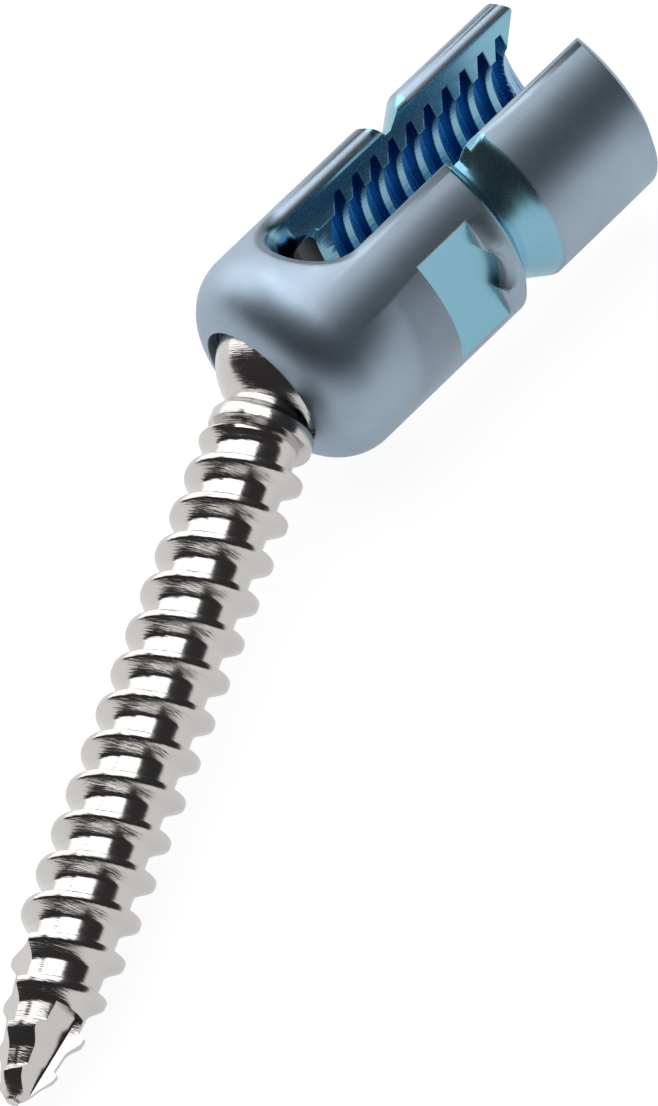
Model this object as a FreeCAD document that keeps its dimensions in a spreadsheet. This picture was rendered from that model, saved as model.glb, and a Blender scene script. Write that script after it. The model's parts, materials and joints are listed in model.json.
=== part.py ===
import FreeCAD, Part
import Sketcher
import math
import os

Vector = FreeCAD.Vector

# Driving dimensions, in millimetres and degrees.
# The head's own frame: Z along its axis from the bottom face to the open end,
# X along the rod, Y towards one arm, origin in the bottom plane.
SIZES = {
    # head
    "arm_dia": 13.8,
    "head_height": 26.3,
    "bottom_round": 3.4,
    "top_bevel_height": 0.6,
    "top_bevel_width": 0.9,
    "channel_width": 5.8,
    "channel_floor": 4.8,
    "channel_round": 0.7,
    # bore for the set screw, and the chamber under it
    "thread_major_dia": 10.36,
    "thread_minor_dia": 8.44,
    "lead_in_flare": 0.6,
    "lead_in_depth": 1.33,
    "chamber_gap": 0.4,
    "chamber_top": 9.0,
    # break-off groove below the reduction tabs
    "break_low": 14.65,
    "break_floor_low": 15.6,
    "break_floor_high": 16.05,
    "break_high": 17.95,
    "break_web": 0.42,
    "break_shoulder": 0.5,
    # holder recess in the outside of each arm
    "recess_low": 9.25,
    "recess_high": 13.3,
    "recess_floor": 5.76,
    "recess_eye_dia": 4.36,
    "recess_eye_height": 11.82,
    # ball joint
    "ball_dia": 8.1,
    "ball_height": 2.2,
    "ball_top": 1.6,
    "ball_play": 0.03,
    "mouth_play": 0.07,
    # split ring that holds the ball
    "ring_depth": 0.85,
    "ring_groove_low": 0.85,
    "ring_groove_high": 2.35,
    "ring_play": 0.03,
    "ring_gap": 0.8,
    # pressure cap between ball and rod
    "rod_dia": 5.5,
    "rod_play": 0.05,
    "rod_height": 8.65,
    "cap_play": 0.07,
    "cap_low": 2.75,
    "cap_high": 8.6,
    "cap_bevel": 0.3,
    "driver_hole_gap": 0.05,
    # bone screw, in its own frame: Z along the screw, origin at the ball's centre
    "screw_reach": 47.3,
    "core_dia": 4.7,
    "crest_dia": 6.5,
    "crest_flat": 0.5,
    "upper_flank": 0.2,
    "lower_flank": 0.72,
    "thread_pitch": 2.55,
    "thread_top": 4.9,
    "thread_start": 3.7,
    "thread_foot_dia": 3.0,
    "neck_low": 3.75,
    "collar_dia": 6.06,
    "collar_bevel": 0.4,
    "collar_low": 5.1,
    "nose_length": 12.0,
    "core_nose_length": 9.0,
    "flute_turn_angle": 14.9,
    "long_flute_length": 9.2,
    "short_flute_length": 5.6,
    "flute_web": 0.69,
    "flute_rise_ratio": 0.2,
    "flute_open_ratio": 0.42,
    "socket_dia": 2.4,
    "socket_depth": 2.6,
    "lobe_dia": 0.7,
    "lobe_circle_dia": 2.6,
    # pose: the screw's lean in the head and its turn about itself, and how the whole lies
    "lean_angle": 24.3,
    "lean_azimuth": 121.2,
    "screw_turn": -26.0,
    "lie_roll_angle": -14.8,
    "lie_pitch_angle": 1.1,
}

NOSE_STEPS = 5
FLUTE_COUNT = 3
LOBE_COUNT = 6
OVERCUT = 2.0
NEAR = 0.01
ROUND_SHARE = 0.55

doc = FreeCAD.newDocument("pedicle_screw")
sheet = doc.addObject("Spreadsheet::Sheet", "Sizes")
for row, (alias, number) in enumerate(SIZES.items(), start=1):
    sheet.set("A%d" % row, alias)
    sheet.set("B%d" % row, str(number))
    sheet.setAlias("B%d" % row, alias)
doc.recompute()


class Size:
    """A length or angle with its value and the formula on the sheet's cells."""

    def __init__(self, value, formula):
        self.value = value
        self.formula = formula

    def joined(self, other, sign, value):
        text = other.formula if isinstance(other, Size) else repr(other)
        return Size(value, "(%s %s %s)" % (self.formula, sign, text))

    def __add__(self, other):
        return self.joined(other, "+", self.value + plain(other))

    def __sub__(self, other):
        return self.joined(other, "-", self.value - plain(other))

    def __mul__(self, other):
        return self.joined(other, "*", self.value * plain(other))

    def __truediv__(self, other):
        return self.joined(other, "/", self.value / plain(other))

    def __neg__(self):
        return self * -1


def smaller(first, second):
    formula = "min(%s; %s)" % (first.formula, second.formula)
    return Size(min(first.value, second.value), formula)


def plain(size):
    return size.value if isinstance(size, Size) else float(size)


def cell(alias):
    return Size(float(sheet.get(alias)), "Sizes.%s" % alias)


def bind(item, path, size):
    """Ties one property of an object to the sheet."""
    item.setExpression(path, size.formula if isinstance(size, Size) else repr(size))


def new_body(name):
    body = doc.addObject("PartDesign::Body", name)
    body.Label = name
    return body


def origin_plane(body, role):
    return [item for item in body.Origin.OriginFeatures if item.Role == role][0]


def new_sketch(body, name, role, offset=None, turn=0.0):
    sketch = body.newObject("Sketcher::SketchObject", name)
    sketch.AttachmentSupport = (origin_plane(body, role), [""])
    sketch.MapMode = "FlatFace"
    sketch.AttachmentOffset = FreeCAD.Placement(Vector(), FreeCAD.Rotation(Vector(0, 0, 1), turn))
    if offset is not None:
        bind(sketch, "AttachmentOffset.Base.z", offset)
    return sketch


def hold(sketch, name, size, kind, *ends):
    """A dimension of the sketch that follows the sheet."""
    index = sketch.addConstraint(Sketcher.Constraint(kind, *ends, plain(size)))
    if isinstance(size, Size):
        sketch.renameConstraint(index, name)
        bind(sketch, "Constraints.%s" % name, size)


def draw_outline(sketch, corners):
    """A closed outline of straight edges; each corner is fixed from the sketch's origin."""
    count = len(corners)
    for index in range(count):
        here, there = corners[index], corners[(index + 1) % count]
        start = Vector(plain(here[0]), plain(here[1]), 0)
        end = Vector(plain(there[0]), plain(there[1]), 0)
        sketch.addGeometry(Part.LineSegment(start, end), False)
    for index in range(count):
        sketch.addConstraint(Sketcher.Constraint("Coincident", index, 2, (index + 1) % count, 1))
        hold(sketch, "across_%d" % index, corners[index][0], "DistanceX", -1, 1, index, 1)
        hold(sketch, "up_%d" % index, corners[index][1], "DistanceY", -1, 1, index, 1)


def draw_circle(sketch, name, x, y, radius):
    spot = Vector(plain(x), plain(y), 0)
    index = sketch.addGeometry(Part.Circle(spot, Vector(0, 0, 1), plain(radius)), False)
    hold(sketch, name + "_across", x, "DistanceX", -1, 1, index, 3)
    hold(sketch, name + "_up", y, "DistanceY", -1, 1, index, 3)
    hold(sketch, name + "_radius", radius, "Radius", index)


def turned(body, kind, name, corners):
    """Material added or cut by turning a half section in XZ about Z."""
    sketch = new_sketch(body, name + "_section", "XZ_Plane")
    draw_outline(sketch, corners)
    doc.recompute()
    feature = body.newObject("PartDesign::" + kind, name)
    feature.Profile = sketch
    feature.ReferenceAxis = (sketch, ["V_Axis"])
    feature.Angle = 360
    doc.recompute()
    return feature


def cut_through(body, sketch, name):
    """A pocket through the whole body, both ways from the sketch."""
    feature = body.newObject("PartDesign::Pocket", name)
    feature.Profile = sketch
    feature.Type = "ThroughAll"
    feature.Midplane = True
    doc.recompute()
    return feature


def rounded(body, name, edges, radius):
    before = body.Tip
    feature = body.newObject("PartDesign::Fillet", name)
    feature.Base = (before, edges)
    bind(feature, "Radius", radius)
    doc.recompute()
    return feature


def edges_where(shape, test):
    return ["Edge%d" % n for n, edge in enumerate(shape.Edges, start=1) if test(edge)]


def edge_points(edge):
    return edge.discretize(Number=7)


def break_web_radius():
    """The floor of the break-off groove, a thin web outside the set screw's thread."""
    return cell("thread_major_dia") / 2 + cell("break_web")


def make_head():
    """The head: two arms with break-off tabs, one turned and milled piece."""
    body = new_body("tulip")
    outer = cell("arm_dia") / 2
    height = cell("head_height")
    turned(body, "Revolution", "blank", [(0, 0), (outer, 0), (outer, height), (0, height)])

    def on_bottom(edge):
        return all(abs(p.z) < NEAR for p in edge_points(edge))

    rounded(body, "bottom_rounding", edges_where(body.Shape, on_bottom), cell("bottom_round"))

    drop, width = cell("top_bevel_height"), cell("top_bevel_width")
    turned(body, "Groove", "top_edge", [
        (outer - width * 2, height + drop),
        (outer + width, height - drop * 2),
        (outer + width, height + drop),
    ])
    web = break_web_radius()
    shoulder = cell("break_shoulder")
    turned(body, "Groove", "break_off_groove", [
        (outer + OVERCUT, cell("break_low")),
        (outer, cell("break_low")),
        (outer - shoulder, cell("break_low") + shoulder),
        (web, cell("break_floor_low")),
        (web, cell("break_floor_high")),
        (outer, cell("break_high")),
        (outer + OVERCUT, cell("break_high")),
    ])
    cut_channel(body, outer, height)

    minor = cell("thread_minor_dia") / 2
    flare = cell("thread_major_dia") / 2 + cell("lead_in_flare")
    chamber = cell("ball_dia") / 2 + cell("chamber_gap")
    groove = cell("ball_dia") / 2 + cell("ring_depth")
    mouth = cell("ball_dia") / 2 + cell("mouth_play")
    turned(body, "Groove", "stepped_bore", [
        (0, -OVERCUT),
        (mouth, -OVERCUT),
        (mouth, cell("ring_groove_low")),
        (groove, cell("ring_groove_low")),
        (groove, cell("ring_groove_high")),
        (chamber, cell("ring_groove_high")),
        (chamber, cell("chamber_top")),
        (minor, cell("chamber_top") + (chamber - minor)),
        (minor, height - cell("lead_in_depth")),
        (flare, height),
        (flare, height + OVERCUT),
        (0, height + OVERCUT),
    ])
    make_recesses(body, outer)
    return body


def cut_channel(body, outer, height):
    """The rod channel with its round floor and rounded outer edges."""
    half = cell("channel_width") / 2
    seat = cell("channel_floor") + half
    sketch = new_sketch(body, "channel_section", "YZ_Plane")
    top = height + OVERCUT
    left, right = Vector(-half.value, seat.value, 0), Vector(half.value, seat.value, 0)
    left_top, right_top = Vector(-half.value, top.value, 0), Vector(half.value, top.value, 0)
    sketch.addGeometry(Part.LineSegment(left_top, left), False)
    floor = Part.Circle(Vector(0, seat.value, 0), Vector(0, 0, 1), half.value)
    sketch.addGeometry(Part.ArcOfCircle(floor, math.pi, math.pi * 2), False)
    sketch.addGeometry(Part.LineSegment(right, right_top), False)
    sketch.addGeometry(Part.LineSegment(right_top, left_top), False)
    sketch.addConstraint(Sketcher.Constraint("Tangent", 0, 2, 1, 1))
    sketch.addConstraint(Sketcher.Constraint("Tangent", 1, 2, 2, 1))
    sketch.addConstraint(Sketcher.Constraint("Coincident", 2, 2, 3, 1))
    sketch.addConstraint(Sketcher.Constraint("Coincident", 3, 2, 0, 1))
    sketch.addConstraint(Sketcher.Constraint("Vertical", 0))
    sketch.addConstraint(Sketcher.Constraint("Vertical", 2))
    sketch.addConstraint(Sketcher.Constraint("Horizontal", 3))
    sketch.addConstraint(Sketcher.Constraint("PointOnObject", 1, 3, -2))
    hold(sketch, "half_width", half, "Radius", 1)
    hold(sketch, "floor_centre", seat, "DistanceY", -1, 1, 1, 3)
    hold(sketch, "open_top", top, "DistanceY", -1, 1, 2, 2)
    doc.recompute()
    cut_through(body, sketch, "rod_channel")

    def on_channel_rim(edge):
        points = edge_points(edge)
        on_wall = all(abs(math.hypot(p.x, p.y) - outer.value) < NEAR for p in points)
        return on_wall and max(abs(p.y) for p in points) < half.value + NEAR

    groove_depth = outer - break_web_radius()
    limit = smaller(cell("channel_round"), groove_depth * ROUND_SHARE)
    rounded(body, "channel_rounding", edges_where(body.Shape, on_channel_rim), limit)


def make_recesses(body, outer):
    """The holder recess milled across each arm, with a round eye in its middle."""
    low, high = cell("recess_low"), cell("recess_high")
    band = new_sketch(body, "recess_band", "XZ_Plane", -cell("recess_floor"))
    draw_outline(band, [(-outer, low), (outer, low), (outer, high), (-outer, high)])
    eye = new_sketch(body, "recess_eye", "XZ_Plane", -cell("recess_floor"))
    draw_circle(eye, "eye", 0, cell("recess_eye_height"), cell("recess_eye_dia") / 2)
    doc.recompute()
    cuts = []
    for name, sketch in (("holder_recess", band), ("holder_eye", eye)):
        pocket = body.newObject("PartDesign::Pocket", name)
        pocket.Profile = sketch
        pocket.Type = "ThroughAll"
        doc.recompute()
        cuts.append(pocket)
    mirrored = body.newObject("PartDesign::Mirrored", "far_arm_recess")
    mirrored.Originals = cuts
    mirrored.MirrorPlane = (origin_plane(body, "XZ_Plane"), [""])
    body.Tip = mirrored
    doc.recompute()


def make_ring():
    """The split ring in the head's groove; its inside is part of the ball's sphere."""
    body = new_body("retaining_ring")
    play = cell("ring_play")
    outer = cell("ball_dia") / 2 + cell("ring_depth") - play
    low = cell("ring_groove_low") + play
    high = cell("ring_groove_high") - play
    inner = outer / 2
    turned(body, "Revolution", "ring_blank", [(inner, low), (outer, low), (outer, high), (inner, high)])
    cut_ball(body, "ball_seat")
    gap = new_sketch(body, "gap_section", "XY_Plane")
    half = cell("ring_gap") / 2
    draw_outline(gap, [(-outer * 2, -half), (0, -half), (0, half), (-outer * 2, half)])
    doc.recompute()
    cut_through(body, gap, "split")
    return body


def cut_ball(body, name):
    """A spherical seat round the ball's centre, with running play."""
    sphere = body.newObject("PartDesign::SubtractiveSphere", name)
    bind(sphere, "Radius", cell("ball_dia") / 2 + cell("ball_play"))
    bind(sphere, "Placement.Base.z", cell("ball_height"))
    doc.recompute()
    return sphere


def make_cap():
    """The pressure cap: a cup on the ball below, a half-round rod seat above."""
    body = new_body("pressure_cap")
    outer = cell("ball_dia") / 2 + cell("chamber_gap") - cell("cap_play")
    hole = (cell("lobe_circle_dia") + cell("lobe_dia")) / 2 + cell("driver_hole_gap")
    low, high = cell("cap_low"), cell("cap_high")
    bevel = cell("cap_bevel")
    turned(body, "Revolution", "cap_blank", [
        (hole, low),
        (outer, low),
        (outer, high - bevel),
        (outer - bevel, high),
        (hole, high),
    ])
    cut_ball(body, "ball_cup")
    rod = new_sketch(body, "rod_section", "YZ_Plane")
    draw_circle(rod, "rod", 0, cell("rod_height"), cell("rod_dia") / 2 + cell("rod_play"))
    doc.recompute()
    cut_through(body, rod, "rod_seat")
    return body


def nose_outline(radius, length, tip):
    """Points of a quarter-ellipse nose, from its full radius down to its tip."""
    points = []
    for step in range(NOSE_STEPS):
        part = step / NOSE_STEPS
        points.append((radius * math.sqrt(1 - part * part), tip + length * (1 - part)))
    points.append((0, tip))
    return points


def make_screw():
    """The bone screw: ball, neck, collar, threaded shank and fluted nose in one piece."""
    body = new_body("bone_screw")
    tip = -cell("screw_reach")
    core = cell("core_dia") / 2
    crest = cell("crest_dia") / 2
    collar = cell("collar_dia") / 2
    bevel = cell("collar_bevel")
    neck_low = -cell("neck_low")
    collar_low = -cell("collar_low")

    ball = body.newObject("PartDesign::AdditiveSphere", "ball")
    bind(ball, "Radius", cell("ball_dia") / 2)
    doc.recompute()
    radius = cell("ball_dia") / 2
    turned(body, "Groove", "ball_flat", [
        (0, cell("ball_top")),
        (radius + OVERCUT, cell("ball_top")),
        (radius + OVERCUT, radius + OVERCUT),
        (0, radius + OVERCUT),
    ])
    shank = [
        (0, 0),
        (core, 0),
        (core, neck_low),
        (collar - bevel, neck_low),
        (collar, neck_low - bevel),
        (collar, collar_low),
        (core, collar_low - (collar - core)),
    ]
    turned(body, "Revolution", "shank", shank + nose_outline(core, cell("core_nose_length"), tip))

    flat = cell("crest_flat")
    foot = cell("thread_foot_dia") / 2
    top = -cell("thread_top")
    start = tip + cell("thread_start")
    slope = (crest - foot) / (crest - core)
    profile = new_sketch(body, "thread_section", "XZ_Plane")
    draw_outline(profile, [
        (foot, start + cell("upper_flank") * slope),
        (crest, start),
        (crest, start - flat),
        (foot, start - flat - cell("lower_flank") * slope),
    ])
    doc.recompute()
    thread = body.newObject("PartDesign::AdditiveHelix", "thread")
    thread.Profile = profile
    thread.ReferenceAxis = (profile, ["V_Axis"])
    thread.Mode = 0
    bind(thread, "Pitch", cell("thread_pitch"))
    bind(thread, "Height", top - start)
    doc.recompute()

    nose = nose_outline(crest, cell("nose_length"), tip)
    turned(body, "Groove", "thread_nose", nose + [
        (0, tip - OVERCUT),
        (crest + OVERCUT, tip - OVERCUT),
        (crest + OVERCUT, tip + cell("nose_length")),
    ])
    make_flutes(body, tip, crest)
    make_socket(body)
    return body


def make_flutes(body, tip, crest):
    """Cutting flutes round the nose, evenly spaced; one is longer than the others."""
    for index in range(FLUTE_COUNT):
        length = cell("short_flute_length") if index else cell("long_flute_length")
        turn = sheet.get("flute_turn_angle") + index * 360 / FLUTE_COUNT
        cut_flute(body, "flute_%d" % index, tip, length, crest * 1.4, turn)


def cut_flute(body, name, tip, length, reach, turn):
    """A notch with a radial rake face; its root rises from the tip until the flute ends."""
    rise = cell("flute_rise_ratio")
    sections = []
    for place, level in (("tip", -OVERCUT), ("end", length)):
        sketch = new_sketch(body, "%s_%s" % (name, place), "XY_Plane", tip + level, turn)
        root = cell("flute_web") + rise * level
        back = root - reach * cell("flute_open_ratio")
        draw_outline(sketch, [(root, 0), (reach, 0), (reach, -reach), (back, -reach)])
        sections.append(sketch)
    doc.recompute()
    flute = body.newObject("PartDesign::SubtractiveLoft", name)
    flute.Profile = sections[0]
    flute.Sections = [sections[1]]
    flute.Ruled = True
    doc.recompute()


def make_socket(body):
    """The six-lobed driver socket in the ball's flat."""
    sketch = new_sketch(body, "socket_section", "XY_Plane", cell("ball_top"))
    draw_circle(sketch, "socket", 0, 0, cell("socket_dia") / 2)
    lobe_sketch = new_sketch(body, "lobe_section", "XY_Plane", cell("ball_top"))
    draw_circle(lobe_sketch, "lobe", cell("lobe_circle_dia") / 2, 0, cell("lobe_dia") / 2)
    doc.recompute()
    cuts = []
    for name, profile in (("socket", sketch), ("lobe", lobe_sketch)):
        pocket = body.newObject("PartDesign::Pocket", name)
        pocket.Profile = profile
        bind(pocket, "Length", cell("socket_depth"))
        doc.recompute()
        cuts.append(pocket)
    pattern = body.newObject("PartDesign::PolarPattern", "lobes")
    pattern.Originals = [cuts[1]]
    pattern.Axis = (lobe_sketch, ["N_Axis"])
    pattern.Angle = 360
    pattern.Occurrences = LOBE_COUNT
    body.Tip = pattern
    doc.recompute()


def lying_turn():
    """Turns the head's frame to lie: its axis along +X, the marked arm towards -Y."""
    laid = FreeCAD.Rotation(Vector(0, 0, 1), Vector(0, -1, 0), Vector(1, 0, 0), "XYZ")
    roll = FreeCAD.Rotation(Vector(1, 0, 0), sheet.get("lie_roll_angle"))
    pitch = FreeCAD.Rotation(Vector(0, 1, 0), sheet.get("lie_pitch_angle"))
    return pitch * roll * laid


def lean_turn():
    """Leans the screw in the head: its tip moves towards the lean azimuth."""
    azimuth = math.radians(sheet.get("lean_azimuth"))
    lean = FreeCAD.Rotation(Vector(math.sin(azimuth), -math.cos(azimuth), 0), sheet.get("lean_angle"))
    return lean * FreeCAD.Rotation(Vector(0, 0, 1), sheet.get("screw_turn"))


def exact_box(shapes):
    """The tight box round several shapes."""
    box = FreeCAD.BoundBox()
    for shape in shapes:
        box.add(shape.optimalBoundingBox(False, False))
    return box


def lay_down(head_parts, screw):
    """Lays the whole on Z = 0 with the origin under the middle of its box."""
    lying = FreeCAD.Placement(Vector(), lying_turn())
    ball = FreeCAD.Placement(Vector(0, 0, sheet.get("ball_height")), lean_turn())
    for body in head_parts:
        body.Placement = lying
    screw.Placement = lying * ball
    doc.recompute()
    bodies = head_parts + [screw]
    box = exact_box([body.Shape for body in bodies])
    shift = Vector(-box.Center.x, -box.Center.y, -box.ZMin)
    for body in bodies:
        body.Placement = FreeCAD.Placement(shift, FreeCAD.Rotation()) * body.Placement
    doc.recompute()


def check_and_export(bodies):
    for item in doc.Objects:
        if "Invalid" in item.State or "Error" in item.State:
            raise RuntimeError("%s failed: %s" % (item.Name, item.State))
    os.makedirs("parts", exist_ok=True)
    for body in bodies:
        shape = body.Shape
        if shape.isNull() or not shape.isValid() or len(shape.Solids) != 1:
            raise RuntimeError("%s is not one valid solid" % body.Label)
    for body in bodies:
        body.Shape.exportStep("parts/%s.step" % body.Label)
        print(body.Label, round(body.Shape.Volume, 3), body.Placement)


head = make_head()
ring = make_ring()
cap = make_cap()
screw = make_screw()
lay_down([head, ring, cap], screw)
check_and_export([head, ring, cap, screw])
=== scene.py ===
"""Looks of the pedicle screw: the set screw's thread, the finished bone screw, the metals, the stage."""

import json
import math

import bmesh
import bpy
from bpy.props import FloatProperty, FloatVectorProperty, IntProperty, PointerProperty
from mathutils import Matrix, Vector


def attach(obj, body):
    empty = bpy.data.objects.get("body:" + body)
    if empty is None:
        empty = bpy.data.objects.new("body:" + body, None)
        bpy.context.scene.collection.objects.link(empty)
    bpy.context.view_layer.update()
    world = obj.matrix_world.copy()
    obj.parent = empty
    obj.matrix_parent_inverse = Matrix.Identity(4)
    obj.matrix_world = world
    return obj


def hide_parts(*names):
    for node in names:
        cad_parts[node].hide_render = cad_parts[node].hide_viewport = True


bl_info = {
    "name": "Pedicle screw looks",
    "version": (1, 0, 0),
    "blender": (4, 5, 0),
    "location": "View3D > Sidebar > Screw",
    "description": "Threads, metals and studio for a polyaxial bone screw",
    "category": "Object",
}

MM = 0.001

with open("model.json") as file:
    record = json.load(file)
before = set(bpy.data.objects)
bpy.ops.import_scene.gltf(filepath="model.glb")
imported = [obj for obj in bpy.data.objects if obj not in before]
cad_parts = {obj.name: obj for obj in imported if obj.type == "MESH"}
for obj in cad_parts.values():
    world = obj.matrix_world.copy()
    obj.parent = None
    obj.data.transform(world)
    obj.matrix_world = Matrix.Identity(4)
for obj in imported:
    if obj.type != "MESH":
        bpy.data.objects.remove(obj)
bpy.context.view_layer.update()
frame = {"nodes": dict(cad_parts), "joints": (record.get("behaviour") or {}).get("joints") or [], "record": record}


def mount(name):
    """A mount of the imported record, by its name."""
    return [m for m in frame["record"]["mounts"] if m["name"] == name][0]


def joint(name):
    """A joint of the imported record, by its name."""
    return [j for j in frame["joints"] if j["name"] == name][0]


# The screw's place in the head, in millimetres and degrees, as the solids have it
BALL_HEIGHT = 2.2
SCREW_REACH = 47.3
SCREW_TURN = -26.0
LEAN_ANGLE = 24.3

# The bone thread: turns made below its start, its run-out at the collar, and its flutes
TURNS_BELOW = 3
RUN_OUT = (0.1, 1.2)
FLUTES = 3
FLUTE_REACH = 1.4
FLUTE_OPENING = 0.42

# The break-off groove's heights above the head's bottom
GROOVE_LOW = 14.65
GROOVE_FLOOR_LOW = 15.6
GROOVE_FLOOR_TOP = 16.05
GROOVE_TOP = 17.95
GROOVE_SHOULDER = 0.5

# How far cutters pass what they cut, and how finely curves are divided
OVERCUT = 0.4
ABOVE_HEAD = 30
BALL_STEPS = 32
CORE_STEPS = 6
DOME_STEPS = 24

# Where the head's finishes change, each from its first limit to its second, in the head's own axes
ABOVE_DOME = (4.3, 4.5)
BORE_RADIUS = (5.7, 5.4)
LAND_RADIUS = (4.5, 4.25)
SLOT_SIDE = (2.96, 2.92)
SLOT_RADIUS = (6.7, 6.4)
WALL_SIDE = (2.86, 2.89)
GROOVE_START = (14.6, 14.9)
GROOVE_END = (17.95, 17.7)
GROOVE_RADIUS = (6.85, 6.75)
RECESS_START = (9.1, 9.3)
RECESS_END = (14.1, 14.0)
RECESS_FLOOR = (5.85, 5.78)
RECESS_BACK = (4.4, 4.6)
RECESS_RADIUS = (6.88, 6.84)

# The photograph's camera in the head's own axes: rows that point right, down and ahead, and its shift
FOCAL_PIXELS = 11400
PHOTO_HEIGHT = 1106
CAMERA_ROWS = (
    (-0.3404, 0.6525, 0.6770),
    (-0.6808, 0.3256, -0.6561),
    (-0.6486, -0.6843, 0.3334),
)
CAMERA_SHIFT = (-3.841, -9.190, 639.866)

ball = Vector(joint("head_spin")["pos_m"])
along_head = Vector(joint("head_spin")["axis"]).normalized()
along_rod = Vector(mount("rod_seat")["axis"]).normalized()
across_rod = along_head.cross(along_rod).normalized()
tilt_axis = Vector(joint("head_tilt")["axis"]).normalized()


def axes_matrix(x_axis, y_axis, z_axis, origin):
    """A matrix from millimetres in a piece's own axes to the row frame in metres."""
    turn = Matrix((x_axis, y_axis, z_axis)).transposed().to_4x4()
    return Matrix.Translation(origin) @ turn @ Matrix.Scale(MM, 4)


HEAD = axes_matrix(along_rod, across_rod, along_head, ball - along_head * BALL_HEIGHT * MM)
lean = Matrix.Rotation(math.radians(LEAN_ANGLE), 4, tilt_axis)
turn = Matrix.Rotation(math.radians(SCREW_TURN), 4, "Z")
upright = axes_matrix(along_rod, across_rod, along_head, Vector((0, 0, 0)))
SCREW = Matrix.Translation(ball) @ lean @ upright @ turn


# Sizes and colours


class BoneScrewSizes(bpy.types.PropertyGroup):
    """Sizes of the bone screw, in its own axes with the ball's centre at zero."""

    core_radius: FloatProperty(name="Core radius", description="Radius between the threads, mm", default=2.35)
    crest_radius: FloatProperty(
        name="Crest radius", description="Outer radius of the thread, mm", default=3.25)
    pitch: FloatProperty(name="Pitch", description="Rise of one turn, mm", default=2.55)
    crest_flat: FloatProperty(name="Crest flat", description="Width of the crest, mm", default=0.5)
    upper_flank: FloatProperty(
        name="Upper flank", description="Axial width of the flank to the head, mm", default=0.2)
    lower_flank: FloatProperty(
        name="Lower flank", description="Axial width of the flank to the tip, mm", default=0.72)
    thread_start: FloatProperty(
        name="Thread start", description="Crest's height above the tip, mm", default=3.7)
    thread_top: FloatProperty(
        name="Thread top", description="Depth of the thread's end below the ball, mm", default=4.9)
    nose: FloatProperty(name="Nose", description="Length of the tapered nose, mm", default=12.0)
    core_nose: FloatProperty(name="Core nose", description="Length of the core's taper, mm", default=9.0)
    flute_turn: FloatProperty(
        name="Flute turn", description="Place of the long flute round the axis, degrees", default=14.9)
    long_flute: FloatProperty(name="Long flute", description="Length of the long flute, mm", default=9.2)
    short_flute: FloatProperty(name="Short flute", description="Length of the other flutes, mm", default=5.6)
    flute_root: FloatProperty(
        name="Flute root", description="Radius of a flute's root at the tip, mm", default=0.69)
    flute_rise: FloatProperty(
        name="Flute rise", description="How much the root rises in each mm", default=0.2)
    ball_radius: FloatProperty(name="Ball radius", description="Radius of the ball, mm", default=4.05)
    ball_top: FloatProperty(name="Ball top", description="Height of the ball's flat top, mm", default=1.6)
    neck_radius: FloatProperty(name="Neck radius", description="Radius of the neck, mm", default=2.35)
    socket_radius: FloatProperty(
        name="Socket radius", description="Radius of the driver's socket, mm", default=1.6)
    socket_depth: FloatProperty(
        name="Socket depth", description="Depth of the driver's socket, mm", default=2.6)
    steps: IntProperty(name="Steps", description="Steps in one turn", default=96, min=24)


class HeadThreadSizes(bpy.types.PropertyGroup):
    """Sizes of the set screw's thread inside the arms."""

    major_radius: FloatProperty(
        name="Major radius", description="Radius of the thread's root, mm", default=5.18)
    minor_radius: FloatProperty(
        name="Minor radius", description="Radius of the thread's crest, mm", default=4.22)
    pitch: FloatProperty(name="Pitch", description="Rise of one turn, mm", default=1.5)
    upper_angle: FloatProperty(name="Upper angle", description="Slope of the upper flank, degrees", default=5)
    lower_angle: FloatProperty(
        name="Lower angle", description="Slope of the lower flank, degrees", default=27)
    land: FloatProperty(name="Land", description="Width of the crest, mm", default=0.47)
    low: FloatProperty(name="Low end", description="Lowest ridge above the head's bottom, mm", default=9.7)
    high: FloatProperty(
        name="High end", description="Highest ridge above the head's bottom, mm", default=25.2)
    outer_radius: FloatProperty(name="Outer radius", description="Radius of the head, mm", default=6.9)
    groove_radius: FloatProperty(
        name="Groove radius", description="Radius at the break-off groove's floor, mm", default=5.6)
    bottom_round: FloatProperty(
        name="Bottom round", description="Radius of the rounded bottom, mm", default=3.4)
    trim: FloatProperty(
        name="Trim", description="How much is shaved off to facet the skin finely, mm", default=0.012)
    steps: IntProperty(name="Steps", description="Steps in one turn", default=96, min=24)


class MetalColours(bpy.types.PropertyGroup):
    """Colours of the metals."""

    head: FloatVectorProperty(
        name="Head", description="Blue-grey anodised titanium", subtype="COLOR", size=3,
        default=(0.36, 0.45, 0.545))
    head_inside: FloatVectorProperty(
        name="Head inside", description="Deeper blue in the bore", subtype="COLOR", size=3,
        default=(0.07, 0.31, 0.60))
    # a lighter blue on the thread's crests: a painted highlight where the inward-facing lands catch light
    land_highlight: FloatVectorProperty(
        name="Head land", description="Light blue on the crests of the thread", subtype="COLOR", size=3,
        default=(0.26, 0.50, 0.64))
    head_groove: FloatVectorProperty(
        name="Head groove", description="Polished light blue in the groove and recess",
        subtype="COLOR", size=3,
        default=(0.25, 0.50, 0.62))
    screw: FloatVectorProperty(
        name="Screw", description="Polished titanium", subtype="COLOR", size=3,
        default=(0.64, 0.62, 0.60))
    # inner: near-black for the pressure cap and retaining ring, a painted shade for the dark inside of the head
    # rather than the titanium's own colour
    inner: FloatVectorProperty(
        name="Inner", description="Machined titanium", subtype="COLOR", size=3,
        default=(0.06, 0.06, 0.065))


# Mesh helpers


def new_piece(name, bm, material, body):
    """A finished mesh as a piece that rides on a body."""
    bmesh.ops.recalc_face_normals(bm, faces=bm.faces)
    mesh = bpy.data.meshes.new(name)
    bm.to_mesh(mesh)
    bm.free()
    mesh.shade_smooth()
    mesh.set_sharp_from_angle(angle=math.radians(32))
    mesh.materials.append(material)
    piece = bpy.data.objects.new(name, mesh)
    bpy.context.scene.collection.objects.link(piece)
    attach(piece, body)
    return piece


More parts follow.
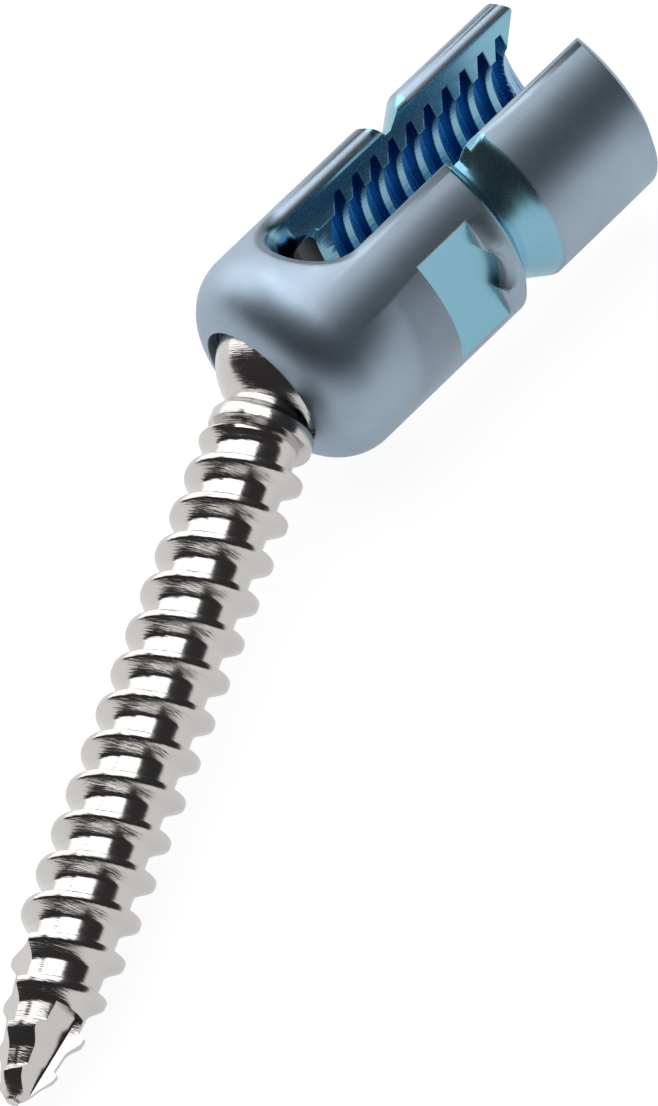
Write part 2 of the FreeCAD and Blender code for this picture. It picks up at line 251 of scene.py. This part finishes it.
def chain(bm, points):
    """An open line of edges through points given as (radius, height) in the XZ plane."""
    verts = [bm.verts.new((r, 0, z)) for r, z in points]
    edges = [bm.edges.new(pair) for pair in zip(verts, verts[1:])]
    return verts + edges


def spun(points, steps):
    """A closed skin of revolution about Z."""
    bm = bmesh.new()
    line = chain(bm, points)
    bmesh.ops.spin(bm, geom=line, cent=(0, 0, 0), axis=(0, 0, 1), angle=math.tau, steps=steps, use_merge=True)
    bmesh.ops.remove_doubles(bm, verts=bm.verts, dist=1e-5)
    return bm


def helix(points, pitch, turns, steps):
    """A line spun about Z while it rises by one pitch in each turn: one turn is made, then stacked."""
    bm = bmesh.new()
    line = chain(bm, points)
    bmesh.ops.spin(
        bm, geom=line, cent=(0, 0, 0), axis=(0, 0, 1), dvec=(0, 0, pitch / steps),
        angle=math.tau, steps=steps)
    one = bm.verts[:] + bm.edges[:] + bm.faces[:]
    for count in range(1, turns):
        copy = bmesh.ops.duplicate(bm, geom=one)["geom"]
        moved = [item for item in copy if isinstance(item, bmesh.types.BMVert)]
        bmesh.ops.translate(bm, vec=(0, 0, pitch * count), verts=moved)
    bmesh.ops.remove_doubles(bm, verts=bm.verts, dist=1e-4)
    return bm


def trimmed(bm, point, normal):
    """Cuts away what lies on the normal's side of a plane, and closes the cut."""
    geom = bm.verts[:] + bm.edges[:] + bm.faces[:]
    cut = bmesh.ops.bisect_plane(bm, geom=geom, plane_co=point, plane_no=normal, clear_outer=True, dist=1e-6)
    rim = [e for e in cut["geom_cut"] if isinstance(e, bmesh.types.BMEdge) and e.is_boundary]
    bmesh.ops.holes_fill(bm, edges=rim, sides=0)


def smooth_step(value, low, high):
    """A value from 0 to 1 that eases in and out between two limits."""
    share = min(1.0, max(0.0, (value - low) / (high - low)))
    return share * share * (3 - 2 * share)


def nose_share(above, length):
    """How far out a quarter-ellipse nose is, above its tip, as a share of its full radius."""
    if above >= length:
        return 1.0
    part = 1 - max(above, 0.0) / length
    return math.sqrt(max(0.02, 1 - part * part))


def plain_object(name, bm):
    """A working object that is taken away again."""
    mesh = bpy.data.meshes.new(name)
    bm.to_mesh(mesh)
    bm.free()
    item = bpy.data.objects.new(name, mesh)
    bpy.context.scene.collection.objects.link(item)
    return item


def with_cuts(context, blank, cutters):
    """The mesh of a working object after other working objects are cut out of it; all are taken away."""
    for cutter in cutters:
        cut = blank.modifiers.new("cut", "BOOLEAN")
        cut.operation = "DIFFERENCE"
        cut.solver = "EXACT"
        cut.object = cutter
    shape = blank.evaluated_get(context.evaluated_depsgraph_get())
    bm = bmesh.new()
    bm.from_mesh(shape.to_mesh())
    for item in [blank, *cutters]:
        bpy.data.objects.remove(item)
    return bm


def flute_cutter(s, tip, length, turn):
    """The notch of one flute: a radial rake face, and a root that rises away from the tip."""
    reach = s.crest_radius * FLUTE_REACH
    bm = bmesh.new()
    ends = []
    for level in (-1.0, length):
        root = s.flute_root + s.flute_rise * level
        corners = ((root, 0), (reach, 0), (reach, -reach), (root - reach * FLUTE_OPENING, -reach))
        verts = [bm.verts.new((x, y, tip + level)) for x, y in corners]
        ends += [bm.edges.new(pair) for pair in zip(verts, verts[1:] + verts[:1])]
    bmesh.ops.bridge_loops(bm, edges=ends)
    bmesh.ops.holes_fill(bm, edges=[e for e in bm.edges if e.is_boundary], sides=0)
    bmesh.ops.recalc_face_normals(bm, faces=bm.faces)
    about_axis = Matrix.Rotation(math.radians(turn), 3, "Z")
    bmesh.ops.rotate(bm, verts=bm.verts, cent=(0, 0, 0), matrix=about_axis)
    return plain_object("flute_cutter", bm)


def skin_cutter(s):
    """What lies outside the head's turned outline, so that the cut leaves an even, finely faceted skin."""
    outer = s.outer_radius - s.trim
    web = s.groove_radius - s.trim
    line = [(0, -1), (outer + 2, -1), (outer + 2, ABOVE_HEAD), (outer, ABOVE_HEAD)]
    line += [
        (outer, GROOVE_TOP + s.trim),
        (web, GROOVE_FLOOR_TOP + s.trim),
        (web, GROOVE_FLOOR_LOW - s.trim),
        (outer - GROOVE_SHOULDER, GROOVE_LOW + GROOVE_SHOULDER - s.trim),
        (outer, GROOVE_LOW - s.trim),
    ]
    centre = s.outer_radius - s.bottom_round
    reach = s.bottom_round - s.trim
    for step in range(DOME_STEPS + 1):
        angle = math.pi / 2 * step / DOME_STEPS
        line.append((centre + reach * math.cos(angle), s.bottom_round - reach * math.sin(angle)))
    line.append((0, s.trim))
    return spun(line, s.steps * 2)


# Pieces


class SCREW_OT_bone_screw(bpy.types.Operator):
    """Build the finished bone screw in place of its plain solid"""

    bl_idname = "screw.bone_screw"
    bl_label = "Bone screw"

    def execute(self, context):
        s = context.scene.bone_screw_sizes
        metal = polished_titanium(context.scene.metal_colours.screw)
        tip = -SCREW_REACH
        depth = s.crest_radius - s.core_radius
        bottom = tip + s.thread_start
        low = -s.crest_flat
        up = s.upper_flank
        down = s.lower_flank
        # one pitch of the section, from the head down: steep flank, flat crest, sloping flank, bare core
        line = [
            (s.core_radius, up + 0.16),
            (s.core_radius + 0.02, up + 0.07),
            (s.core_radius + 0.09, up),
            (s.core_radius + 0.22, up * 0.8),
            (s.core_radius + 0.62, up * 0.25),
            (s.crest_radius - 0.12, 0.0),
            (s.crest_radius - 0.03, -0.04),
            (s.crest_radius, -0.11),
            (s.crest_radius, low + 0.12),
            (s.crest_radius - 0.03, low + 0.04),
            (s.crest_radius - 0.10, low - 0.03),
            (s.core_radius + depth * 0.62, low - down * 0.30),
            (s.core_radius + depth * 0.36, low - down * 0.54),
            (s.core_radius + depth * 0.16, low - down * 0.78),
            (s.core_radius + depth * 0.06, low - down * 0.94),
            (s.core_radius + depth * 0.01, low - down * 1.08),
            (s.core_radius, low - down * 1.2),
        ]
        rest = line[0][1] - s.pitch - line[-1][1]
        line += [(s.core_radius, line[-1][1] + rest * (step + 1) / CORE_STEPS) for step in range(CORE_STEPS)]
        turns = math.ceil((-s.thread_top - bottom) / s.pitch) + TURNS_BELOW + 2
        first = bottom - s.pitch * TURNS_BELOW
        bm = helix([(r, z + first) for r, z in line], s.pitch, turns, s.steps)
        trimmed(bm, (0, 0, -s.thread_top), (0, 0, 1))
        trimmed(bm, (0, 0, tip), (0, 0, -1))
        for vert in bm.verts:
            radius = math.hypot(vert.co.x, vert.co.y)
            if radius < 1e-6:
                continue
            above = vert.co.z - tip
            share = (radius - s.core_radius) / depth
            core = s.core_radius * nose_share(above, s.core_nose)
            crest = s.crest_radius * nose_share(above, s.nose)
            run_out = smooth_step(-s.thread_top - vert.co.z, *RUN_OUT)
            wanted = core + max(0.0, share) * run_out * max(0.0, crest - core)
            factor = wanted / radius
            vert.co.x *= factor
            vert.co.y *= factor
        blank = plain_object("shank_blank", bm)
        cutters = []
        for count in range(FLUTES):
            length = s.short_flute if count else s.long_flute
            cutters.append(flute_cutter(s, tip, length, s.flute_turn + 360 / FLUTES * count))
        bm = with_cuts(context, blank, cutters)
        bmesh.ops.transform(bm, matrix=SCREW, verts=bm.verts)
        shank = new_piece("threaded_shank", bm, metal, "screw")
        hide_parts("bone_screw")

        edge = math.acos(s.ball_top / s.ball_radius)
        end = math.pi - math.asin(s.neck_radius / s.ball_radius)
        floor = s.ball_top - s.socket_depth
        ball_line = [(0, floor), (s.socket_radius, floor), (s.socket_radius, s.ball_top)]
        for step in range(BALL_STEPS + 1):
            angle = edge + (end - edge) * step / BALL_STEPS
            ball_line.append((s.ball_radius * math.sin(angle), s.ball_radius * math.cos(angle)))
        # the neck, then the collar with its bevelled edges
        ball_line += [
            (s.neck_radius, -3.72), (2.65, -3.8), (2.72, -3.82), (2.98, -4.22), (3.03, -4.32),
            (3.03, -4.95), (2.98, -5.05), (s.neck_radius, -5.15), (0, -5.15),
        ]
        bm = spun(ball_line, s.steps)
        bmesh.ops.transform(bm, matrix=SCREW, verts=bm.verts)
        ball_piece = new_piece("ball_and_collar", bm, metal, "screw")
        return {"FINISHED"}


class SCREW_OT_head_thread(bpy.types.Operator):
    """Cut the set screw's thread into the arms of the head"""

    bl_idname = "screw.head_thread"
    bl_label = "Head with its thread"

    def execute(self, context):
        s = context.scene.head_thread_sizes
        metal = anodised_titanium(context.scene.metal_colours)
        depth = s.major_radius - s.minor_radius
        upper = depth * math.tan(math.radians(s.upper_angle))
        lower = depth * math.tan(math.radians(s.lower_angle))
        mouth = (s.pitch - s.land) / 2
        inner = s.minor_radius - OVERCUT
        cut_line = [
            (inner, mouth),
            (s.minor_radius, mouth),
            (s.major_radius, mouth - upper),
            (s.major_radius, lower - mouth),
            (s.minor_radius, -mouth),
            (inner, -mouth),
            (inner, mouth),
        ]
        turns = math.ceil((s.high - s.low) / s.pitch)
        bm = helix([(r, z + s.low) for r, z in cut_line], s.pitch, turns, s.steps)
        bmesh.ops.holes_fill(bm, edges=[e for e in bm.edges if e.is_boundary], sides=0)
        bmesh.ops.recalc_face_normals(bm, faces=bm.faces)
        cutter = plain_object("thread_cutter", bm)
        bm = bmesh.new()
        bm.from_mesh(frame["nodes"]["tulip"].data)
        bmesh.ops.transform(bm, matrix=HEAD.inverted(), verts=bm.verts)
        bmesh.ops.remove_doubles(bm, verts=bm.verts, dist=1e-4)
        blank = plain_object("head_blank", bm)
        start = s.low - 0.3
        reach = s.minor_radius + s.trim
        bore = spun([(0, start), (reach, start), (reach, ABOVE_HEAD), (0, ABOVE_HEAD)], s.steps * 2)
        cutters = [plain_object("bore_cutter", bore), plain_object("skin_cutter", skin_cutter(s)), cutter]
        bm = with_cuts(context, blank, cutters)
        bmesh.ops.dissolve_limit(bm, angle_limit=math.radians(0.1), verts=bm.verts, edges=bm.edges)
        bmesh.ops.transform(bm, matrix=HEAD, verts=bm.verts)
        head = new_piece("threaded_head", bm, metal, "head")
        even = head.modifiers.new("even_shading", "WEIGHTED_NORMAL")
        even.mode = "FACE_AREA"
        even.keep_sharp = True
        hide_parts("tulip")
        return {"FINISHED"}


# Materials


def socket_value(node, name, value):
    """Sets a node's input by its name."""
    node.inputs[name].default_value = value


def new_material(name):
    """A material with its nodes and links."""
    material = bpy.data.materials.new(name)
    material.use_nodes = True
    return material, material.node_tree.nodes, material.node_tree.links


def fine_grain_group():
    """Fine grain and slow drift in a metal's finish, from object coordinates."""
    found = bpy.data.node_groups.get("metal_grain")
    if found:
        return found
    group = bpy.data.node_groups.new("metal_grain", "ShaderNodeTree")
    face = group.interface
    face.new_socket("Vector", in_out="INPUT", socket_type="NodeSocketVector")
    face.new_socket("Grain Scale", in_out="INPUT", socket_type="NodeSocketFloat")
    face.new_socket("Drift Scale", in_out="INPUT", socket_type="NodeSocketFloat")
    face.new_socket("Grain", in_out="OUTPUT", socket_type="NodeSocketFloat")
    face.new_socket("Drift", in_out="OUTPUT", socket_type="NodeSocketFloat")
    nodes, links = group.nodes, group.links
    start = nodes.new("NodeGroupInput")
    end = nodes.new("NodeGroupOutput")
    for scale, out, detail in (("Grain Scale", "Grain", 2.0), ("Drift Scale", "Drift", 3.0)):
        noise = nodes.new("ShaderNodeTexNoise")
        noise.inputs["Detail"].default_value = detail
        links.new(start.outputs["Vector"], noise.inputs["Vector"])
        links.new(start.outputs[scale], noise.inputs["Scale"])
        links.new(noise.outputs["Fac"], end.inputs[out])
    return group


def math_node(nodes, links, operation, first, second=None, third=None):
    """A sum whose inputs may be sockets or plain numbers."""
    node = nodes.new("ShaderNodeMath")
    node.operation = operation
    for index, value in enumerate((first, second, third)):
        if value is None:
            continue
        if isinstance(value, (int, float)):
            node.inputs[index].default_value = value
        else:
            links.new(value, node.inputs[index])
    return node.outputs[0]


def product(nodes, links, first, *others):
    """Masks or values multiplied with each other."""
    result = first
    for other in others:
        result = math_node(nodes, links, "MULTIPLY", result, other)
    return result


def ramp_between(nodes, links, value, low, high):
    """A mask that eases from 0 at the first limit to 1 at the second."""
    node = nodes.new("ShaderNodeMapRange")
    node.interpolation_type = "SMOOTHSTEP"
    links.new(value, node.inputs["Value"])
    node.inputs["From Min"].default_value = low
    node.inputs["From Max"].default_value = high
    return node.outputs["Result"]


def mixed(nodes, links, share, first, second):
    """A colour mix whose colours may be sockets or plain colours."""
    node = nodes.new("ShaderNodeMix")
    node.data_type = "RGBA"
    links.new(share, node.inputs["Factor"])
    for key, value in (("A", first), ("B", second)):
        target = [i for i in node.inputs if i.name == key and i.type == "RGBA"][0]
        if isinstance(value, bpy.types.NodeSocket):
            links.new(value, target)
        else:
            target.default_value = (*value, 1)
    return [o for o in node.outputs if o.type == "RGBA"][0]


def own_coordinates(nodes, links, axes):
    """Object coordinates turned into a piece's own axes, in metres."""
    where = nodes.new("ShaderNodeTexCoord")
    mapping = nodes.new("ShaderNodeMapping")
    back = (axes @ Matrix.Scale(1 / MM, 4)).inverted()
    mapping.inputs["Location"].default_value = back.to_translation()
    mapping.inputs["Rotation"].default_value = back.to_euler()
    links.new(where.outputs["Object"], mapping.inputs["Vector"])
    return mapping.outputs["Vector"]


def anodised_titanium(colours):
    """Satin blue-grey skin, lighter in the groove, recess and slot, deep blue in the threaded bore with a painted
    highlight on the thread's crests.
    """
    material, nodes, links = new_material("anodised_titanium_finish")
    shader = nodes["Principled BSDF"]
    socket_value(shader, "Metallic", 1.0)
    place = own_coordinates(nodes, links, HEAD)
    split = nodes.new("ShaderNodeSeparateXYZ")
    links.new(place, split.inputs[0])
    x, y, z = split.outputs
    squares = math_node(nodes, links, "ADD", product(nodes, links, x, x), product(nodes, links, y, y))
    radius = math_node(nodes, links, "SQRT", squares)
    off_axis = math_node(nodes, links, "ABSOLUTE", y)

    def past(value, limits):
        return ramp_between(nodes, links, value, limits[0] * MM, limits[1] * MM)

    above_dome = past(z, ABOVE_DOME)
    in_bore = product(nodes, links, above_dome, past(radius, BORE_RADIUS))
    in_slot = product(nodes, links, past(off_axis, SLOT_SIDE), past(radius, SLOT_RADIUS))
    slot_wall = product(nodes, links, above_dome, in_slot)
    on_wall = product(nodes, links, in_slot, past(off_axis, WALL_SIDE))
    inside = product(nodes, links, in_bore, math_node(nodes, links, "SUBTRACT", 1.0, on_wall))
    in_groove = product(nodes, links, past(z, GROOVE_START), past(z, GROOVE_END), past(radius, GROOVE_RADIUS))
    in_recess = product(
        nodes, links, past(z, RECESS_START), past(off_axis, RECESS_FLOOR), past(z, RECESS_END),
        past(off_axis, RECESS_BACK), past(radius, RECESS_RADIUS))
    light = math_node(nodes, links, "MAXIMUM", in_groove, in_recess)
    light = math_node(nodes, links, "MAXIMUM", light, slot_wall)
    grain = nodes.new("ShaderNodeGroup")
    grain.node_tree = fine_grain_group()
    links.new(place, grain.inputs["Vector"])
    grain.inputs["Grain Scale"].default_value = 9000
    grain.inputs["Drift Scale"].default_value = 220
    drift = ramp_between(nodes, links, grain.outputs["Drift"], 0.3, 0.7)
    body = mixed(nodes, links, drift, [c * 0.93 for c in colours.head], [c * 1.07 for c in colours.head])
    colour = mixed(nodes, links, light, body, colours.head_groove)
    # the crests take the lighter colour as a painted highlight; the rest of the threaded bore stays deep blue
    thread = mixed(nodes, links, past(radius, LAND_RADIUS), colours.head_inside, colours.land_highlight)
    colour = mixed(nodes, links, inside, colour, thread)
    links.new(colour, shader.inputs["Base Color"])
    base_rough = math_node(nodes, links, "MULTIPLY_ADD", grain.outputs["Grain"], 0.14, 0.38)
    smoother = math_node(nodes, links, "MAXIMUM", inside, light)
    rough = math_node(nodes, links, "SUBTRACT", base_rough, product(nodes, links, smoother, 0.17))
    links.new(rough, shader.inputs["Roughness"])
    edge = nodes.new("ShaderNodeBevel")
    socket_value(edge, "Radius", 0.00012)
    bump = nodes.new("ShaderNodeBump")
    socket_value(bump, "Strength", 0.06)
    socket_value(bump, "Distance", 0.00002)
    links.new(edge.outputs["Normal"], bump.inputs["Normal"])
    links.new(grain.outputs["Grain"], bump.inputs["Height"])
    links.new(bump.outputs["Normal"], shader.inputs["Normal"])
    return material


def polished_titanium(colour, name="polished_titanium_finish", roughness=0.17):
    """Bright metal with fine turning marks round the screw's axis."""
    material, nodes, links = new_material(name)
    shader = nodes["Principled BSDF"]
    socket_value(shader, "Metallic", 1.0)
    place = own_coordinates(nodes, links, SCREW)
    grain = nodes.new("ShaderNodeGroup")
    grain.node_tree = fine_grain_group()
    links.new(place, grain.inputs["Vector"])
    grain.inputs["Grain Scale"].default_value = 4000
    grain.inputs["Drift Scale"].default_value = 400
    along = nodes.new("ShaderNodeVectorMath")
    along.operation = "MULTIPLY"
    along.inputs[1].default_value = (0.1, 0.1, 1.0)
    links.new(place, along.inputs[0])
    marks = nodes.new("ShaderNodeGroup")
    marks.node_tree = fine_grain_group()
    links.new(along.outputs[0], marks.inputs["Vector"])
    marks.inputs["Grain Scale"].default_value = 14000
    marks.inputs["Drift Scale"].default_value = 3000
    shade = mixed(nodes, links, grain.outputs["Drift"], [c * 0.93 for c in colour], list(colour))
    links.new(shade, shader.inputs["Base Color"])
    rough = math_node(nodes, links, "MULTIPLY_ADD", marks.outputs["Drift"], 0.12, roughness - 0.05)
    links.new(rough, shader.inputs["Roughness"])
    height = math_node(nodes, links, "ADD", marks.outputs["Grain"], marks.outputs["Drift"])
    bump = nodes.new("ShaderNodeBump")
    socket_value(bump, "Strength", 0.4)
    socket_value(bump, "Distance", 0.00004)
    links.new(height, bump.inputs["Height"])
    links.new(bump.outputs["Normal"], shader.inputs["Normal"])
    return material


class SCREW_OT_inner_finish(bpy.types.Operator):
    """Give the head's inner pieces a near-black metal, a painted shade for the dark depth inside the head"""

    bl_idname = "screw.inner_finish"
    bl_label = "Inner pieces' finish"

    def execute(self, context):
        colours = context.scene.metal_colours
        # the cap and ring get a near-black colour as painted shade deep inside the head
        painted_shade_metal = polished_titanium(colours.inner, "painted_shade_titanium_finish", 0.28)
        for node in ("pressure_cap", "retaining_ring"):
            frame["nodes"][node].data.materials[0] = painted_shade_metal
        return {"FINISHED"}


# Stage


class SCREW_OT_stage(bpy.types.Operator):
    """Build the pale floor, the soft lights and the camera"""

    bl_idname = "screw.stage"
    bl_label = "Stage"

    def execute(self, context):
        scene = context.scene
        bm = bmesh.new()
        bmesh.ops.create_grid(bm, x_segments=1, y_segments=1, size=1.5)
        mesh = bpy.data.meshes.new("floor")
        bm.to_mesh(mesh)
        bm.free()
        floor = bpy.data.objects.new("floor", mesh)
        scene.collection.objects.link(floor)
        floor.data.materials.append(floor_paint())
        camera = add_camera(scene)
        scene.camera = camera
        add_world(scene)
        for name, direction, distance, size, brightness in SOFTBOXES:
            add_softbox(name, camera.matrix_world.to_3x3() @ Vector(direction), distance, size, brightness)
        scene.view_settings.view_transform = "Standard"
        return {"FINISHED"}


def floor_paint():
    """A white floor: it keeps shadows, and reads white to the camera and in reflections."""
    material, nodes, links = new_material("floor_paint")
    shader = nodes["Principled BSDF"]
    socket_value(shader, "Base Color", (0.9, 0.9, 0.9, 1))
    socket_value(shader, "Roughness", 0.9)
    socket_value(shader, "Specular IOR Level", 0.0)
    glow = nodes.new("ShaderNodeEmission")
    glow.inputs["Strength"].default_value = 1.15
    path = nodes.new("ShaderNodeLightPath")
    mirrored = math_node(
        nodes, links, "MAXIMUM", path.outputs["Is Glossy Ray"], path.outputs["Is Transmission Ray"])
    seen = product(nodes, links, path.outputs["Is Camera Ray"], 0.8)
    share = math_node(nodes, links, "MAXIMUM", seen, product(nodes, links, mirrored, 0.58))
    mix = nodes.new("ShaderNodeMixShader")
    links.new(share, mix.inputs[0])
    links.new(shader.outputs[0], mix.inputs[1])
    links.new(glow.outputs[0], mix.inputs[2])
    links.new(mix.outputs[0], nodes["Material Output"].inputs["Surface"])
    return material


def add_world(scene):
    """A dark room, as the metal reflects it."""
    world = bpy.data.worlds.new("studio")
    world.use_nodes = True
    scene.world = world
    back = world.node_tree.nodes["Background"]
    back.inputs["Color"].default_value = (0.035, 0.034, 0.034, 1)
    back.inputs["Strength"].default_value = 1.0


# Name, direction in the camera's axes (right, up, back), distance and size in metres, brightness
SOFTBOXES = (
    ("key_light", (-0.14, 0.80, 0.58), 0.5, 0.50, 2.2),
    ("left_light", (-0.71, 0.70, -0.08), 0.5, 0.50, 1.7),
)


def add_softbox(name, direction, distance, size, brightness):
    """A square soft light that faces the screw; its brightness is what a mirror would show."""
    data = bpy.data.lights.new(name, "AREA")
    data.shape = "SQUARE"
    data.size = size
    data.energy = brightness * math.pi * size * size
    light = bpy.data.objects.new(name, data)
    bpy.context.scene.collection.objects.link(light)
    away = direction.normalized()
    light.location = away * distance
    light.rotation_euler = away.to_track_quat("Z", "Y").to_euler()
    return light


def add_camera(scene):
    """The photograph's camera: a long lens that looks down on the lying screw."""
    data = bpy.data.cameras.new("camera")
    data.sensor_width = 36
    data.lens = FOCAL_PIXELS * data.sensor_width / PHOTO_HEIGHT
    data.clip_start = 0.01
    data.clip_end = 10
    camera = bpy.data.objects.new("camera", data)
    scene.collection.objects.link(camera)
    rows = Matrix(CAMERA_ROWS)
    place = -(rows.transposed() @ Vector(CAMERA_SHIFT))
    axes = HEAD.to_3x3().normalized()
    right = axes @ rows[0]
    down = axes @ rows[1]
    ahead = axes @ rows[2]
    matrix = Matrix((right, -down, -ahead)).transposed().to_4x4()
    matrix.translation = HEAD @ place
    camera.matrix_world = matrix
    return camera


class SCREW_PT_panel(bpy.types.Panel):
    """Sizes, colours and steps of the screw"""

    bl_label = "Pedicle screw"
    bl_space_type = "VIEW_3D"
    bl_region_type = "UI"
    bl_category = "Screw"

    def draw(self, context):
        layout = self.layout
        for group in ("bone_screw_sizes", "head_thread_sizes", "metal_colours"):
            settings = getattr(context.scene, group)
            for key in settings.__annotations__:
                layout.prop(settings, key)
        for step in STEPS:
            layout.operator(step.bl_idname)


GROUPS = {
    "bone_screw_sizes": BoneScrewSizes,
    "head_thread_sizes": HeadThreadSizes,
    "metal_colours": MetalColours,
}
STEPS = (SCREW_OT_inner_finish, SCREW_OT_head_thread, SCREW_OT_bone_screw, SCREW_OT_stage)


def register():
    for item in (*GROUPS.values(), *STEPS, SCREW_PT_panel):
        bpy.utils.register_class(item)
    for name, group in GROUPS.items():
        setattr(bpy.types.Scene, name, PointerProperty(type=group))


def unregister():
    for name in GROUPS:
        delattr(bpy.types.Scene, name)
    for item in reversed((*GROUPS.values(), *STEPS, SCREW_PT_panel)):
        bpy.utils.unregister_class(item)


def main():
    register()
    bpy.ops.screw.inner_finish()
    bpy.ops.screw.head_thread()
    bpy.ops.screw.bone_screw()
    bpy.ops.screw.stage()


if __name__ == "__main__":
    main()
